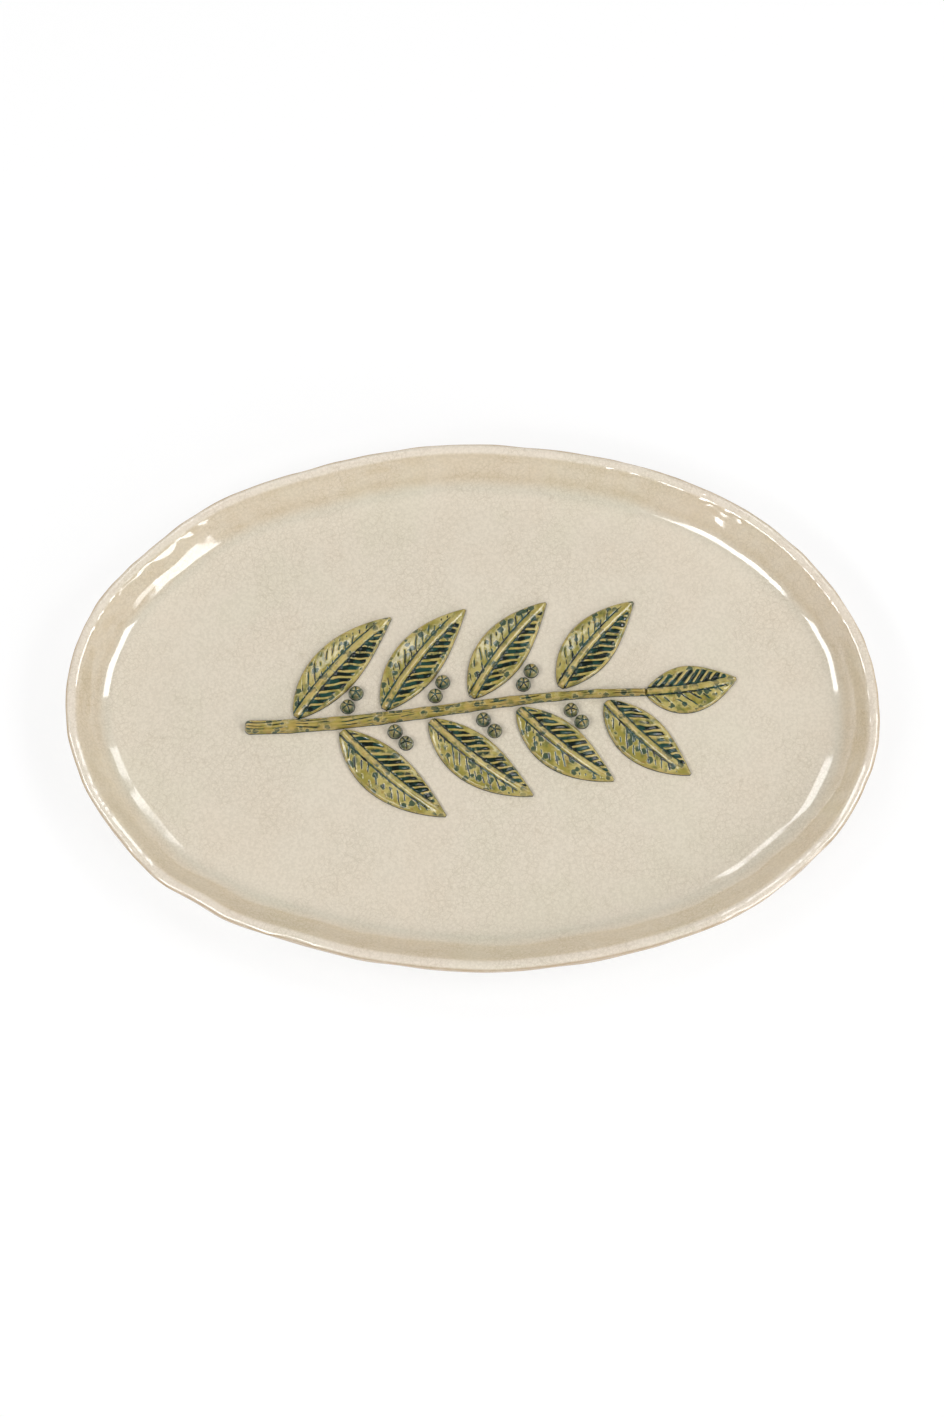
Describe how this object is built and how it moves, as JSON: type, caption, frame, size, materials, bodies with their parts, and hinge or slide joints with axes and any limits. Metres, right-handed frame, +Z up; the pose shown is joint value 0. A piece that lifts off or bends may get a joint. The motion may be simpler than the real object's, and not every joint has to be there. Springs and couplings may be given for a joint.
{
  "type": "oval plate",
  "caption": "Oval hand-built stoneware serving plate with a low sloping wall, a foot ring and a leafy branch in relief under a glossy crackle glaze.",
  "frame": {"origin": "on the table, under the middle of the plate's bounding box", "axes": "+X along the plate's length, towards the tip of the branch; +Y along its width; +Z up"},
  "size_m": [0.4008, 0.269, 0.028],
  "materials": {
    "cream_crackle_glaze": "gloss",
    "bare_stoneware": "matte",
    "leaf_glaze": "gloss",
    "stem_glaze": "gloss",
    "berry_glaze": "gloss"
  },
  "bodies": {
    "root": {"foot_ring": "bare_stoneware", "well_slab": "cream_crackle_glaze", "rim_wall": "cream_crackle_glaze", "cove_coil": "cream_crackle_glaze", "stem": "stem_glaze", "leaf_1": "leaf_glaze", "leaf_2": "leaf_glaze", "leaf_3": "leaf_glaze", "leaf_4": "leaf_glaze", "leaf_5": "leaf_glaze", "leaf_6": "leaf_glaze", "leaf_7": "leaf_glaze", "leaf_8": "leaf_glaze", "end_leaf": "leaf_glaze", "berry_1_1": "berry_glaze", "berry_1_2": "berry_glaze", "berry_2_1": "berry_glaze", "berry_2_2": "berry_glaze", "berry_3_1": "berry_glaze", "berry_3_2": "berry_glaze", "berry_4_1": "berry_glaze", "berry_4_2": "berry_glaze", "berry_5_1": "berry_glaze", "berry_5_2": "berry_glaze", "berry_6_1": "berry_glaze", "berry_6_2": "berry_glaze"}
  },
  "joints": []
}
